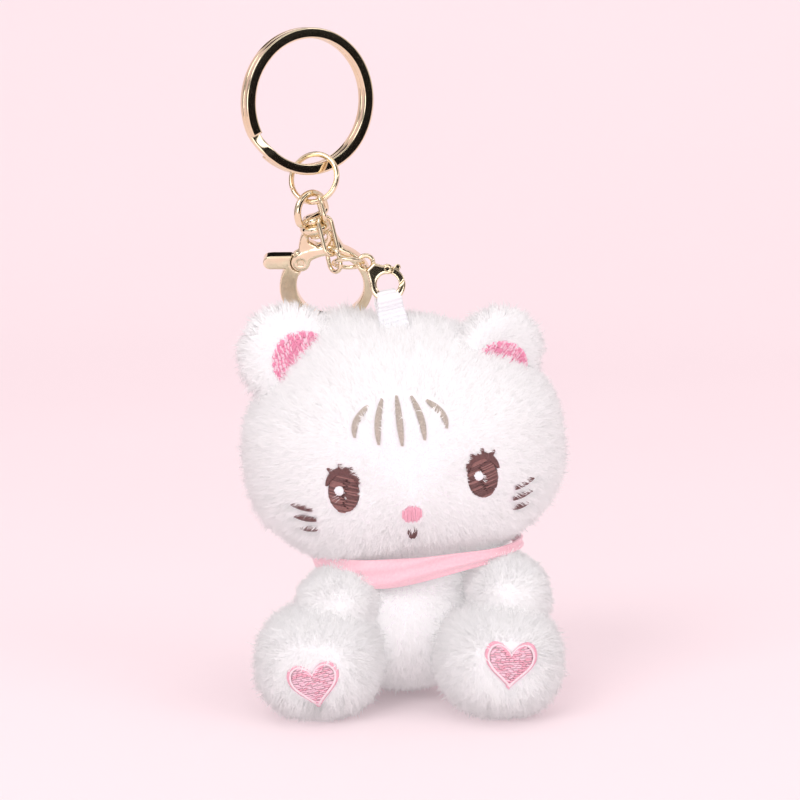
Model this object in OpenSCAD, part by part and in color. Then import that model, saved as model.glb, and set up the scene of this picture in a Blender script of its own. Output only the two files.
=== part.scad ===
// Stuffed kitten keychain: a split ring, a swivel snap clasp, a short chain with a
// lobster clasp, and a sitting kitten of pile fabric on a ribbon loop.
// Millimetres, +Z up. The kitten faces -Y. The origin is the centre of the split ring.

/* [Split ring] */
// Outer diameter of the split ring
ring_od = 30; // [29:0.5:31]
// Radial width of the flat ring wire
ring_band = 2.2; // [2.0:0.1:2.3]
// Thickness of one turn of the flat ring wire
ring_turn = 1.4; // [1.3:0.05:1.45]
// Turn of the ring about the vertical, left side forward
ring_yaw = 32; // [28:1:34]

/* [Jump ring and chain] */
// Outer diameter of the jump ring
jump_od = 11.2; // [11:0.1:11.4]
// Wire diameter of the jump ring
jump_wire = 1.15; // [1.0:0.05:1.2]
// Wire diameter of the chain links and the end ring
link_wire = 0.9; // [0.8:0.05:0.95]
// Outer diameter of the end ring
end_od = 7.0; // [6.9:0.1:7.1]

/* [Swivel clasp] */
// Inner radius of the claw
claw_r = 7.0; // [6.8:0.1:7.2]
// Width of the claw's band
claw_band = 1.8; // [1.7:0.1:2.0]
// Width of the claw on the gate's side
claw_side = 3.5; // [3.2:0.1:3.6]
// Thickness of the claw, front to back
claw_thick = 3.0; // [2.8:0.1:3.2]
// Radius of the swivel post
post_r = 1.0; // [0.9:0.05:1.1]

/* [Lobster clasp] */
// Inner radius of the lobster's hook
hook_r = 2.3; // [2.2:0.1:2.4]
// Width of the hook's band
hook_band = 1.3; // [1.2:0.1:1.3]
// Thickness of the hook, front to back
hook_thick = 2.0; // [1.9:0.1:2.1]

/* [Ribbon] */
// Width of the ribbon
ribbon_w = 6.0; // [5.8:0.1:6.2]
// Thickness of one layer of the ribbon
ribbon_t = 0.5; // [0.45:0.05:0.55]

/* [Kitten] */
// Half of the head's width, without the pile
head_rx = 30.2; // [29.8:0.1:30.5]
// Half of the head's height and depth, without the pile
head_rz = 22.5; // [22.2:0.1:22.7]
// Roll of the head, its right-hand side in front view up
head_roll = 5.5; // [4:0.5:7]
// Thickness of the cover fabric
cover_t = 1.0; // [0.8:0.1:1.2]
// Radius of the torso
torso_r = 15.5; // [15:0.1:16]
// Radius of a leg
leg_r = 9.4; // [9.2:0.1:9.6]
// Radius of an arm
arm_r = 5.4; // [5.2:0.1:5.6]
// Radius of an ear
ear_r = 7.6; // [7.4:0.1:7.8]
// Height of the embroidery above the cover
stitch_t = 0.5; // [0.4:0.05:0.6]

/* [Hidden] */
$fn = 64;

gold = "#d9bf8c";
steel = "#b9bcc0";
pile_white = "#f4eef2";
ribbon_white = "#fafafa";
fill_white = "#eeeeee";
pink = "#f2a6bd";
satin_pink = "#f6c3cc";
brown = "#5a3330";
beige = "#c9bfb4";

// Gap between the two turns of the split ring
turn_gap = 0.08;
// Angle over which the ring's turns are one piece, and where it lies
cross_sweep = 14;
cross_at = 211;
ring_ri = ring_od / 2 - ring_band;
ring_rise = ring_turn + turn_gap;

// The jump ring: centre, turn about the vertical (right side forward), lean (top back)
jump_c = [1.2, 0.1, -15.7];
jump_yaw = 22;
jump_tilt = 18;
jump_r = (jump_od - jump_wire) / 2;
// Width of the cut where the wire's ends meet
wire_cut = 0.12;

// Rotations of a vector, in degrees
function turn_x(a, v) = [v.x, v.y * cos(a) - v.z * sin(a), v.y * sin(a) + v.z * cos(a)];
function turn_z(a, v) = [v.x * cos(a) - v.y * sin(a), v.x * sin(a) + v.y * cos(a), v.z];
// The centre of the jump ring's wire at an angle, from its right side, counter-clockwise
function on_jump_wire(a) =
  jump_c + turn_z(-jump_yaw, turn_x(-jump_tilt, jump_r * [cos(a), 0, sin(a)]));

// Swivel eye: wire, mean radius of its bow, and its turn about its own post
eye_wire = 1.5;
eye_r = 3.8;
eye_yaw = 45;
eye_leg = 1.5;
// The eye hangs on the jump ring a little left of its lowest point
eye_slack = 0.25;
eye_hold = on_jump_wire(-96);
// Lean of the clasp: lower end to the right, and lower end back
clasp_lean = 13;
clasp_back = 17;
eye_top = (jump_wire + eye_wire) / 2 + eye_slack;
// Heights along the clasp's own axis, from the jump ring's wire down
collar_z = eye_top - eye_r - eye_leg - eye_wire / 2 - 0.2;
collar_h = 2.4;
collar_r = 3.2;
post_gap = 0.06;
rivet_r = 1.6;
rivet_h = 0.8;
claw_z = collar_z - 14.2;
neck_thick = 2.4;

// Gate of the swivel clasp: pivot from the claw's centre, boss, and the arc of its end
gate_pivot = [-4.7, 6.6];
gate_boss = 2.0;
gate_gap = 0.15;
gate_reach = 11.3;
gate_slot = 1.8;
tongue_t = 1.1;
pin_r = 0.6;
pin_gap = 0.05;

// Gate of the lobster clasp, from the hook's centre
latch_pivot = [2.2, 2.25];
latch_boss = 1.0;
latch_reach = 4.0;
latch_slot = 0.9;
latch_tongue = 0.5;
latch_pin_r = 0.35;

// Where the chain's pieces take hold of each other, from the jump ring down
link_gap = 0.14;
hold_1 = on_jump_wire(-71.2) + [0, 0, jump_wire / 2 + link_gap / 2];
hold_2 = [3.3, -2.52, -23.92];
hold_3 = [4.93, -3.54, -30.53];
hold_4 = [5.77, -4.11, -33.96];
// Widths of the links, and turns about the vertical: where each link's width points
link_widths = [3.08, 2.92, 3.18];
link_turns = [100.4, 27.2, -43.6];
end_c = [8.31, -4.29, -32.74];
end_tilt = 67.5;
end_r = (end_od - link_wire) / 2;

// Lobster clasp: centre of its tail's hole, and its leans to the right and forward
lobster_top = [11.82, -4.21, -32.65];
lobster_lean = 45;
lobster_fwd = 10;
tail_r = 1.5;
tail_wire = 0.85;
hook_z = -6.3;

// Ribbon loop: its upper end goes round the hook, its lower end into the head's seam
hook_c = lobster_top + turn_x(-lobster_fwd, -hook_z * [sin(lobster_lean), 0, -cos(lobster_lean)]);
ribbon_top = hook_c + turn_x(-lobster_fwd, [0, 0, -hook_r - hook_band / 2]);
ribbon_foot = [18.0, -3.8, -47.8];
ribbon_turn = 12;
ribbon_bend = 1.55;
// Half-width to which the ribbon is bunched where it passes through the hook
bunch_w = 0.75;

head_c = [19.4, -3, -68.5];
head_yaw = 4;
neck_z = -89.8;
// Height at which the arms rest on the legs
lap_z = -100.4;
seat_z = -119.8;
fill_gap = 0.1;
torso_c = [19.8, -4, -104.8];
torso_rz = 16.1;
slot_w = ribbon_w + 0.8;
slot_t = 3.2;

// One entry per side: centre, turn about the vertical, dip of the front end
left_arm_c = [5.6, -16.2, -98.8];
right_arm_c = [38.6, -16.2, -98.0];
arm_len = 9.0;
arm_turn = 24;
arm_dip = 20;
left_leg_c = [3.6, -22, -110.4];
right_leg_c = [37.6, -22, -109.9];
leg_len = 14.5;
leg_turn = 8;
sole_cut = 12.6;

// Ears: centre, tilt outward, and turn about the vertical
left_ear_c = [-4.0, -4.0, -51.2];
right_ear_c = [39.2, -4.4, -51.4];
left_ear_tilt = -28;
right_ear_tilt = 24;
left_ear_yaw = 8;
right_ear_yaw = 30;
ear_t = 4.6;

// Face, from the head's centre as seen from the front: across, up
eye_at = [14.0, -6.8];
eye_size = [3.3, 4.4];
shine_at = [-1.2, 1.4];
shine_size = [1.2, 1.4];
nose_at = [0, -12.1];
nose_size = [2.2, 1.7];
mouth_at = [0, -15.9];
mouth_size = [1.0, 1.35];
whisker_at = [22.2, -11.8];
whisker_size = [4.2, 1.1];
whisker_step = 2.35;
tuft_at = [0, 5.6];
heart_w = 10.2;
border_w = 1.1;

// ---- shapes ----

// An ellipse's half outline with blunter ends as the power grows, for a turned solid
function egg_points(rr, rl, p, n = 18) =
  [for (i = [0 : n]) let (t = 180 * i / n, s = abs(cos(t)))
    [rr * pow(sin(t), 2 / p), rl * sign(cos(t)) * pow(s, 2 / p)]];

module egg(rr, rl, p = 2) {
  rotate_extrude() polygon(egg_points(rr, rl, p));
}

module torus(r, wire) {
  rotate_extrude() translate([r, 0]) circle(d = wire);
}

// A flat piece in the XZ plane, centred front to back
module flat(t) {
  rotate([90, 0, 0]) linear_extrude(height = t, center = true) children();
}

module disc(r, t) {
  rotate([90, 0, 0]) cylinder(r = r, h = t, center = true);
}

// A welded link with its long axis along Z and its plane in XZ; sizes are to the wire's centre
module link(len, wid, wire) {
  r = wid / 2;
  straight = round(100 * (len / 2 - r)) / 100;
  for (s = [0, 180]) rotate([0, s, 0]) {
    translate([0, 0, straight]) rotate([90, 0, 0])
      rotate_extrude(angle = 180) translate([r, 0]) circle(d = wire);
    translate([r, 0, -straight]) cylinder(d = wire, h = 2 * straight);
  }
}

// Puts a piece between a point and a lower one, its Z axis down along them and its X axis
// turned about the vertical
module between(a, b, turn) {
  d = b - a;
  across = atan2(d.y, d.x);
  translate((a + b) / 2)
    rotate([0, acos(d.z / norm(d)), across]) rotate([0, 0, across + 180 - turn]) children();
}

module chain_link(a, b, wid, turn) {
  color(gold) between(a, b, turn) link(norm(b - a) + link_wire + link_gap, wid, link_wire);
}

// ---- split ring and jump ring ----

module ring_layer(z, from, sweep) {
  e = 0.15;
  rotate([0, 0, from]) rotate_extrude(angle = sweep)
    translate([ring_ri, z])
      polygon([[e, 0], [ring_band - e, 0], [ring_band, e], [ring_band, ring_turn - e],
               [ring_band - e, ring_turn], [e, ring_turn], [0, ring_turn - e], [0, e]]);
}

// The short stretch where the two turns are one piece of wire
module ring_crossover() {
  inset = 0.3;
  rotate_extrude(angle = cross_sweep) translate([ring_ri + inset, ring_turn - inset])
    square([ring_band - 2 * inset, turn_gap + 2 * inset]);
}

module split_ring() {
  end_gap = 3;
  color(gold) rotate([0, 0, ring_yaw]) rotate([90, 0, 0])
    translate([0, 0, -ring_rise + turn_gap / 2]) rotate([0, 0, cross_at]) {
      ring_layer(0, 0, 360 - end_gap);
      ring_layer(ring_rise, cross_sweep + end_gap, 360 - end_gap);
      rotate([0, 0, 1]) ring_crossover();
    }
}

module jump_ring() {
  color(gold) translate(jump_c) rotate([-jump_tilt, 0, -jump_yaw]) difference() {
    rotate([90, 0, 0]) torus(jump_r, jump_wire);
    rotate([0, -150, 0]) translate([jump_r - 1, -1, 0]) cube([2, 2, wire_cut]);
  }
}

// ---- swivel clasp ----

module on_clasp() {
  translate(eye_hold) rotate([clasp_back, 0, 0]) rotate([0, -clasp_lean, 0]) children();
}

module swivel_eye() {
  color(gold) on_clasp() rotate([0, 0, eye_yaw]) {
    translate([0, 0, eye_top - eye_r]) {
      rotate([90, 0, 0]) rotate_extrude(angle = 180) translate([eye_r, 0]) circle(d = eye_wire);
      for (s = [-1, 1]) translate([s * eye_r, 0, -eye_leg]) cylinder(d = eye_wire, h = eye_leg);
      translate([-eye_r - eye_wire / 2, -eye_wire / 2 - 0.1, -eye_leg - eye_wire / 2])
        cube([2 * eye_r + eye_wire, eye_wire + 0.2, eye_wire]);
    }
    translate([0, 0, collar_z - collar_h - 0.1]) cylinder(r = post_r, h = collar_h + 1);
    translate([0, 0, collar_z - collar_h - 0.1 - rivet_h]) cylinder(r = rivet_r, h = rivet_h);
  }
}

module collar() {
  translate([0, 0, collar_z]) rotate_extrude()
    polygon([[0, 0], [collar_r - 0.5, 0], [collar_r, -0.5], [collar_r, -1.2],
             [collar_r - 1.1, -collar_h], [0, -collar_h]]);
}

// Two legs that part below the collar round an opening and run into the claw
module neck() {
  top = collar_z - collar_h + 0.4;
  foot = claw_z + claw_r + 0.6;
  difference() {
    flat(neck_thick)
      polygon([[-3.2, top], [3.2, top], [4.6, foot], [0, foot + 0.6], [-5.2, foot]]);
    flat(2 * neck_thick)
      polygon([[-1.9, top - 0.3], [1.9, top - 0.3], [2.1, foot + 2.9], [0, foot + 1.5],
               [-2.1, foot + 2.9]]);
  }
}

// The claw's whole band, wider on the gate's side
module claw_outline(t, wide = 0) {
  difference() {
    union() {
      disc(claw_r + claw_band, t);
      translate([claw_band - claw_side, 0, 0]) disc(claw_r + claw_band, t);
    }
    disc(claw_r, t + 2);
  }
}

// The part of the claw's band that the gate fills: below the pivot and above the hook's tip
module gate_sector(reach, boss) {
  intersection() {
    flat(20) polygon([[0, 0], [-12.8, 18], [-18, 18], [-18, -20], [-5.2, -20]]);
    translate([gate_pivot.x, 0, gate_pivot.y]) difference() {
      disc(reach, 20);
      disc(boss, 21);
    }
  }
}

module clasp_body() {
  color(gold) on_clasp() difference() {
    union() {
      collar();
      neck();
      translate([0, 0, claw_z]) {
        difference() {
          claw_outline(claw_thick);
          gate_sector(gate_reach + gate_gap, 0.01);
        }
        translate([gate_pivot.x, 0, gate_pivot.y]) disc(gate_boss, claw_thick);
      }
    }
    translate([0, 0, collar_z - collar_h - 3]) cylinder(r = post_r + post_gap, h = collar_h + 4);
    translate([0, 0, collar_z - collar_h - 1.1]) cylinder(r = rivet_r + 0.2, h = 1.1);
    translate([gate_pivot.x, 0, claw_z + gate_pivot.y]) {
      disc(pin_r, claw_thick + 2);
      disc(gate_boss + gate_gap + 0.6, gate_slot);
    }
  }
}

module clasp_gate() {
  color(gold) on_clasp() translate([0, 0, claw_z]) difference() {
    union() {
      intersection() {
        claw_outline(claw_thick - 0.3);
        gate_sector(gate_reach, gate_boss + gate_gap);
      }
      translate([gate_pivot.x, gate_slot / 2 - tongue_t / 2 - 0.1, gate_pivot.y])
        gate_tongue(gate_boss, tongue_t, 3.2);
      difference() {
        thumb_tab();
        translate([gate_pivot.x, 0, gate_pivot.y]) disc(gate_boss + gate_gap, claw_thick + 2);
      }
    }
    translate([gate_pivot.x, 0, gate_pivot.y]) disc(pin_r + pin_gap, claw_thick + 2);
  }
}

// The flat eye of a gate that sits in the slot, with a web that runs into the gate
module gate_tongue(r, t, web) {
  disc(r, t);
  rotate([0, -50, 0]) translate([-web, -t / 2, -0.6 * r]) cube([web, t, 1.2 * r]);
}

module thumb_tab() {
  translate([-6.2, 0, 6.9]) rotate([0, 12, 0]) {
    translate([-2.4, 0, 0]) flat(claw_thick - 0.3) square([4.8, 2.8], center = true);
    translate([-4.8, 0, 0]) disc(1.4, claw_thick - 0.3);
  }
}

module clasp_pin() {
  color(steel) on_clasp() translate([gate_pivot.x, 0, claw_z + gate_pivot.y])
    disc(pin_r, claw_thick);
}

module clasp_spring() {
  color(steel) on_clasp()
    translate([gate_pivot.x, -gate_slot / 2 + 0.3, claw_z + gate_pivot.y])
      rotate([90, 0, 0]) torus(1.1, 0.4);
}

// ---- chain ----

module link_upper() chain_link(hold_1, hold_2, link_widths[0], link_turns[0]);
module link_middle() chain_link(hold_2, hold_3, link_widths[1], link_turns[1]);
module link_lower() chain_link(hold_3, hold_4, link_widths[2], link_turns[2]);

module end_ring() {
  color(gold) translate(end_c) rotate([end_tilt, 0, 0]) difference() {
    rotate([90, 0, 0]) torus(end_r, link_wire);
    rotate([0, -50, 0]) translate([end_r - 1, -1, 0]) cube([2, 2, wire_cut]);
  }
}

// ---- lobster clasp ----

module on_lobster() {
  translate(lobster_top) rotate([-lobster_fwd, 0, 0]) rotate([0, -lobster_lean, 0]) children();
}

module hook_outline(t) {
  difference() {
    union() {
      disc(hook_r + hook_band, t);
      flat(t) polygon([[-1.1, -hook_z - tail_r + 0.2], [1.1, -hook_z - tail_r + 0.2],
                       [3.5, 0.8], [-3.5, 0.8]]);
    }
    disc(hook_r, t + 2);
  }
}

module latch_sector(reach, boss) {
  intersection() {
    flat(20) polygon([[0, 0], [8, 8.2], [9, 6], [9, -9], [1.2, -9]]);
    translate([latch_pivot.x, 0, latch_pivot.y]) difference() {
      disc(reach, 20);
      disc(boss, 21);
    }
  }
}

module lobster_body() {
  color(gold) on_lobster() {
    rotate([90, 0, 0]) torus(tail_r, tail_wire);
    translate([0, 0, hook_z]) difference() {
      union() {
        difference() {
          hook_outline(hook_thick);
          latch_sector(latch_reach + gate_gap, 0.01);
        }
        translate([latch_pivot.x, 0, latch_pivot.y]) disc(latch_boss, hook_thick);
      }
      translate([latch_pivot.x, 0, latch_pivot.y]) {
        disc(latch_pin_r, hook_thick + 2);
        disc(latch_boss + gate_gap + 0.3, latch_slot);
      }
    }
  }
}

module lobster_gate() {
  color(gold) on_lobster() translate([0, 0, hook_z]) difference() {
    union() {
      intersection() {
        hook_outline(hook_thick - 0.3);
        latch_sector(latch_reach, latch_boss + gate_gap);
      }
      translate([latch_pivot.x, latch_slot / 2 - latch_tongue / 2 - 0.06, latch_pivot.y])
        mirror([1, 0, 0]) gate_tongue(latch_boss, latch_tongue, 1.9);
      trigger_nub();
    }
    translate([latch_pivot.x, 0, latch_pivot.y]) disc(latch_pin_r + pin_gap, hook_thick + 2);
  }
}

module trigger_nub() {
  difference() {
    translate([latch_pivot.x + 0.8, 0, latch_pivot.y - 1.45]) rotate([0, -15, 0]) {
      translate([0.4, 0, 0]) flat(hook_thick - 0.6) square([1.2, 1.2], center = true);
      translate([1.0, 0, 0]) disc(0.6, hook_thick - 0.6);
    }
    translate([latch_pivot.x, 0, latch_pivot.y]) disc(latch_boss + gate_gap, hook_thick + 2);
  }
}

module lobster_pin() {
  color(steel) on_lobster() translate([latch_pivot.x, 0, hook_z + latch_pivot.y])
    disc(latch_pin_r, hook_thick);
}

module lobster_spring() {
  color(steel) on_lobster()
    translate([latch_pivot.x, -latch_slot / 2 + 0.16, hook_z + latch_pivot.y])
      rotate([90, 0, 0]) torus(0.6, 0.22);
}

// ---- ribbon ----

// The ribbon goes round the hook in a small loop, and its two layers run down together
module ribbon_loop() {
  reach = norm(ribbon_foot - ribbon_top) / 2;
  half = ribbon_w / 2;
  color(ribbon_white) between(ribbon_top, ribbon_foot, ribbon_turn)
    difference() {
      intersection() {
        union() {
          translate([0, 0, -reach]) rotate([0, 90, 0])
            cylinder(r = ribbon_bend + ribbon_t, h = ribbon_w, center = true);
          translate([-half, -ribbon_t, -reach]) cube([ribbon_w, 2 * ribbon_t, 2 * reach]);
        }
        // Narrow over the hook, then widening to the full ribbon
        translate([0, 0, -reach]) flat(10)
          polygon([[-bunch_w, -4], [bunch_w, -4], [bunch_w, -0.1], [half, 1.2],
                   [half, 3 * reach], [-half, 3 * reach], [-half, 1.2], [-bunch_w, -0.1]]);
      }
      translate([0, 0, -reach]) rotate([0, 90, 0])
        cylinder(r = ribbon_bend, h = ribbon_w + 2, center = true);
    }
}

// ---- kitten ----

module on_head() {
  translate(head_c) rotate([0, -head_roll, 0]) rotate([0, 0, head_yaw]) children();
}

module head_egg(grow) {
  rotate([0, 90, 0]) egg(head_rz + grow, head_rx + grow);
}

module below(z) {
  translate([-50, -60, z - 80]) cube([140, 120, 80]);
}

module above(z) {
  translate([-50, -60, z]) cube([140, 120, 80]);
}

module ribbon_slot() {
  translate(ribbon_foot) rotate([0, 0, ribbon_turn])
    cube([slot_w, slot_t, 8], center = true);
}

module head_cover() {
  color(pile_white) difference() {
    on_head() difference() {
      head_egg(0);
      head_egg(-cover_t);
    }
    below(neck_z);
    ribbon_slot();
  }
}

module head_stuffing() {
  color(fill_white) difference() {
    on_head() head_egg(-cover_t - fill_gap);
    below(neck_z);
    ribbon_slot();
  }
}

module torso_egg(grow) {
  translate(torso_c) egg(torso_r + grow, torso_rz + grow);
}

// The underside is flat, and the cover keeps its thickness there
module torso_fill(gap) {
  difference() {
    torso_egg(-cover_t - gap);
    below(seat_z + cover_t + gap);
  }
}

module torso_cover() {
  color(pile_white) difference() {
    torso_egg(0);
    torso_fill(0);
    above(neck_z);
    below(seat_z);
  }
}

module torso_stuffing() {
  color(fill_white) difference() {
    torso_fill(fill_gap);
    above(neck_z);
  }
}

// side is -1 on the left and 1 on the right, seen from the front
module on_arm(c, side) {
  translate(c) rotate([0, 0, side * arm_turn]) rotate([90 + arm_dip, 0, 0]) children();
}

module arm(c, side, grow) {
  intersection() {
    on_arm(c, side) egg(arm_r + grow, arm_len + grow, 2.3);
    beyond_torso(c, grow);
    above(lap_z - grow);
  }
}

// Everything beyond the plane that touches the torso on the side of a limb
module beyond_torso(c, grow) {
  translate([torso_c.x, torso_c.y, 0]) rotate([0, 0, atan2(c.y - torso_c.y, c.x - torso_c.x)])
    translate([torso_r + 0.1 - grow, -60, -140]) cube([80, 120, 120]);
}

module on_leg(c, side) {
  translate(c) rotate([0, 0, side * leg_turn]) rotate([90, 0, 0]) children();
}

module leg_egg(c, side, grow) {
  intersection() {
    on_leg(c, side) intersection() {
      egg(leg_r + grow, leg_len + grow, 2.4);
      translate([-30, -30, -60]) cube([60, 60, 60 + sole_cut + grow]);
    }
    beyond_torso(c, grow);
  }
}

module leg(c, side, grow) {
  difference() {
    leg_egg(c, side, grow);
    below(seat_z);
  }
}

module limb_cover() {
  color(pile_white) difference() {
    children(0);
    children(1);
  }
}

module left_arm_cover() limb_cover() {
  arm(left_arm_c, -1, 0);
  arm(left_arm_c, -1, -cover_t);
}
module right_arm_cover() limb_cover() {
  arm(right_arm_c, 1, 0);
  arm(right_arm_c, 1, -cover_t);
}
module left_arm_stuffing() color(fill_white) arm(left_arm_c, -1, -cover_t - fill_gap);
module right_arm_stuffing() color(fill_white) arm(right_arm_c, 1, -cover_t - fill_gap);

module left_leg_cover() limb_cover() {
  leg(left_leg_c, -1, 0);
  leg_egg(left_leg_c, -1, -cover_t);
}
module right_leg_cover() limb_cover() {
  leg(right_leg_c, 1, 0);
  leg_egg(right_leg_c, 1, -cover_t);
}
module left_leg_stuffing() color(fill_white) leg(left_leg_c, -1, -cover_t - fill_gap);
module right_leg_stuffing() color(fill_white) leg(right_leg_c, 1, -cover_t - fill_gap);

// ---- ears ----

module on_ear(c, tilt, yaw) {
  translate(c) rotate([0, tilt, 0]) rotate([0, 0, yaw]) children();
}

module ear_egg(grow) {
  rotate([90, 0, 0]) rotate_extrude()
    polygon([for (i = [0 : 16]) let (t = 180 * i / 16 - 90)
      [(ear_r + grow) * cos(t), (ear_t / 2 + grow) * sin(t)]]);
}

module ear(c, tilt, yaw) {
  color(pile_white) difference() {
    on_ear(c, tilt, yaw) difference() {
      ear_egg(0);
      ear_bowl(0.05);
    }
    on_head() head_egg(0.05);
  }
}

// The shallow crescent of stitching on the ear's front
module ear_bowl(grow) {
  translate([0, -ear_t / 2 - 0.2, -1.2]) rotate([90, 0, 0])
    cylinder(r = ear_r * 0.62 + grow, h = 1.8 + 2 * grow, center = true);
}

module ear_lining(c, tilt, yaw) {
  color(pink) difference() {
    on_ear(c, tilt, yaw) intersection() {
      ear_bowl(0);
      ear_egg(0.2);
    }
    on_head() head_egg(0.1);
  }
}

module left_ear() ear(left_ear_c, left_ear_tilt, left_ear_yaw);
module right_ear() ear(right_ear_c, right_ear_tilt, right_ear_yaw);
module left_ear_lining() ear_lining(left_ear_c, left_ear_tilt, left_ear_yaw);
module right_ear_lining() ear_lining(right_ear_c, right_ear_tilt, right_ear_yaw);

// ---- embroidery ----

// Stitching on the head: the outline given, across and up, laid on the cover
module on_face(raise = 0) {
  on_head() intersection() {
    difference() {
      head_egg(stitch_t + raise);
      head_egg(0.05 + raise);
    }
    rotate([90, 0, 0]) linear_extrude(height = 60) children();
  }
}

function oval(size, n = 28) =
  [for (i = [0 : n - 1]) [size.x * cos(360 * i / n), size.y * sin(360 * i / n)]];

module oval_at(at, size, turn = 0) {
  translate(at) rotate(turn) polygon(oval(size));
}

module left_eye() color(brown) on_face() oval_at([-eye_at.x, eye_at.y], eye_size);
module right_eye() color(brown) on_face() oval_at(eye_at, eye_size);

module eye_highlights() {
  for (s = [-1, 1])
    color("white") on_face(stitch_t + 0.02)
      oval_at([s * eye_at.x, eye_at.y] + shine_at, shine_size);
}

module nose() color(pink) on_face() oval_at(nose_at, nose_size);
module mouth() color(brown) on_face() oval_at(mouth_at, mouth_size);

module whiskers(s) {
  for (i = [-1 : 1])
    color(brown) on_face()
      oval_at([s * (whisker_at.x - 0.5 * abs(i - 1)), whisker_at.y + i * whisker_step],
              whisker_size / 2, s * (12 + 6 * i));
}

module left_whiskers() whiskers(-1);
module right_whiskers() whiskers(1);

// A small tuft of five strokes on the forehead
module forehead_tuft() {
  for (i = [-2 : 2])
    color(beige) on_face()
      oval_at(tuft_at + [2.7 * i, 0.35 * i * i], [0.55, 4.2 - 0.5 * abs(i)], 9 * i);
}

// A heart's outline of unit width
function heart(w) =
  [for (i = [0 : 35]) let (t = 10 * i)
    w / 32 * [16 * pow(sin(t), 3), 13 * cos(t) - 5 * cos(2 * t) - 2 * cos(3 * t) - cos(4 * t)]];

module on_sole(c, side) {
  color(pink) on_leg(c, side) translate([0, 0, sole_cut + 0.05])
    linear_extrude(height = stitch_t) children();
}

module left_sole_heart() on_sole(left_leg_c, -1) polygon(heart(heart_w - 2 * border_w - 0.4));
module right_sole_heart() on_sole(right_leg_c, 1) polygon(heart(heart_w - 2 * border_w - 0.4));

module heart_border() {
  difference() {
    polygon(heart(heart_w));
    polygon(heart(heart_w - 2 * border_w));
  }
}

module left_heart_border() on_sole(left_leg_c, -1) heart_border();
module right_heart_border() on_sole(right_leg_c, 1) heart_border();

// ---- neckerchief ----

module neckerchief() {
  color(satin_pink) translate([torso_c.x, torso_c.y, 0]) intersection() {
    rotate_extrude() polygon([[9.6, -90.2], [19, -91.0], [19, -91.6], [9.6, -90.8]]);
    translate([0, -3.5, -100]) cylinder(r = 15.4, h = 20);
  }
}

split_ring();
jump_ring();
swivel_eye();
clasp_body();
clasp_gate();
clasp_pin();
clasp_spring();
link_upper();
link_middle();
link_lower();
end_ring();
lobster_body();
lobster_gate();
lobster_pin();
lobster_spring();
ribbon_loop();
head_cover();
head_stuffing();
torso_cover();
torso_stuffing();
left_arm_cover();
left_arm_stuffing();
right_arm_cover();
right_arm_stuffing();
left_leg_cover();
left_leg_stuffing();
right_leg_cover();
right_leg_stuffing();
left_ear();
right_ear();
left_ear_lining();
right_ear_lining();
left_eye();
right_eye();
eye_highlights();
nose();
mouth();
left_whiskers();
right_whiskers();
forehead_tuft();
left_sole_heart();
right_sole_heart();
left_heart_border();
right_heart_border();
neckerchief();
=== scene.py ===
"""Plush keychain: the visual model, the stage, the lights and the camera.

Lengths are in millimetres until a mesh is made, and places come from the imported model.
"""

import math

import bmesh
import bpy
import numpy as np
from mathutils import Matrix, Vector
from mathutils.bvhtree import BVHTree
from mathutils.kdtree import KDTree


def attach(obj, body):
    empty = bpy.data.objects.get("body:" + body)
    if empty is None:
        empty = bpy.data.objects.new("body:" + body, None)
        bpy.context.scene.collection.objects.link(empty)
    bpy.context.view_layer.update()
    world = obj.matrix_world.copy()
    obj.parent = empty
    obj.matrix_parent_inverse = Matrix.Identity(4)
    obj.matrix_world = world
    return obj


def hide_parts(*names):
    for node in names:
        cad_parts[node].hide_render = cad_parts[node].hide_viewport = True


MM = 0.001


def add_object(name, data):
    ob = bpy.data.objects.new(name, data)
    bpy.context.scene.collection.objects.link(ob)
    return ob


# ---- camera, then the frame ----

def make_camera():
    data = bpy.data.cameras.new("camera")
    data.lens = 141.3
    data.sensor_width = 36.0
    data.clip_start = 0.02
    data.clip_end = 20
    cam = add_object("camera", data)
    cam.location = (0.0188, -0.6420, 0.0400)
    aim = Vector((0.0188, 0.0, -0.0617)) - cam.location
    cam.rotation_euler = aim.to_track_quat("-Z", "Y").to_euler()
    bpy.context.scene.camera = cam


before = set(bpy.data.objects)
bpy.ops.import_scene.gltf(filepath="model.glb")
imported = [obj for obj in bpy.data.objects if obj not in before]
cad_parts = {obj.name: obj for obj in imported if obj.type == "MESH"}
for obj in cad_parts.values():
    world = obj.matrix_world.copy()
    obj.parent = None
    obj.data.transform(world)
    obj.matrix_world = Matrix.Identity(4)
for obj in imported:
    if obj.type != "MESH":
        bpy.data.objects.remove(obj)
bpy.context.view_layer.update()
make_camera()


# ---- small vector helpers ----

def cos_sin(degrees):
    a = math.radians(degrees)
    return math.cos(a), math.sin(a)


def rot_x(a):
    c, s = cos_sin(a)
    return np.array([[1, 0, 0], [0, c, -s], [0, s, c]])


def rot_y(a):
    c, s = cos_sin(a)
    return np.array([[c, 0, s], [0, 1, 0], [-s, 0, c]])


def rot_z(a):
    c, s = cos_sin(a)
    return np.array([[c, -s, 0], [s, c, 0], [0, 0, 1]])


def unit(v):
    v = np.asarray(v, float)
    return v / np.maximum(np.linalg.norm(v, axis=-1, keepdims=True), 1e-9)


def smooth_step(x, a, b):
    t = np.clip((x - a) / (b - a), 0, 1)
    return t * t * (3 - 2 * t)


class Place:
    """A turned and moved frame: local millimetres to the part's."""

    def __init__(self, origin, turn):
        self.origin = np.asarray(origin, float)
        self.turn = np.asarray(turn, float)

    def out(self, p):
        return self.origin + np.asarray(p, float) @ self.turn.T

    def turned(self, v):
        return np.asarray(v, float) @ self.turn.T

    def back(self, p):
        return (np.asarray(p, float) - self.origin) @ self.turn


# ---- materials ----

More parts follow.
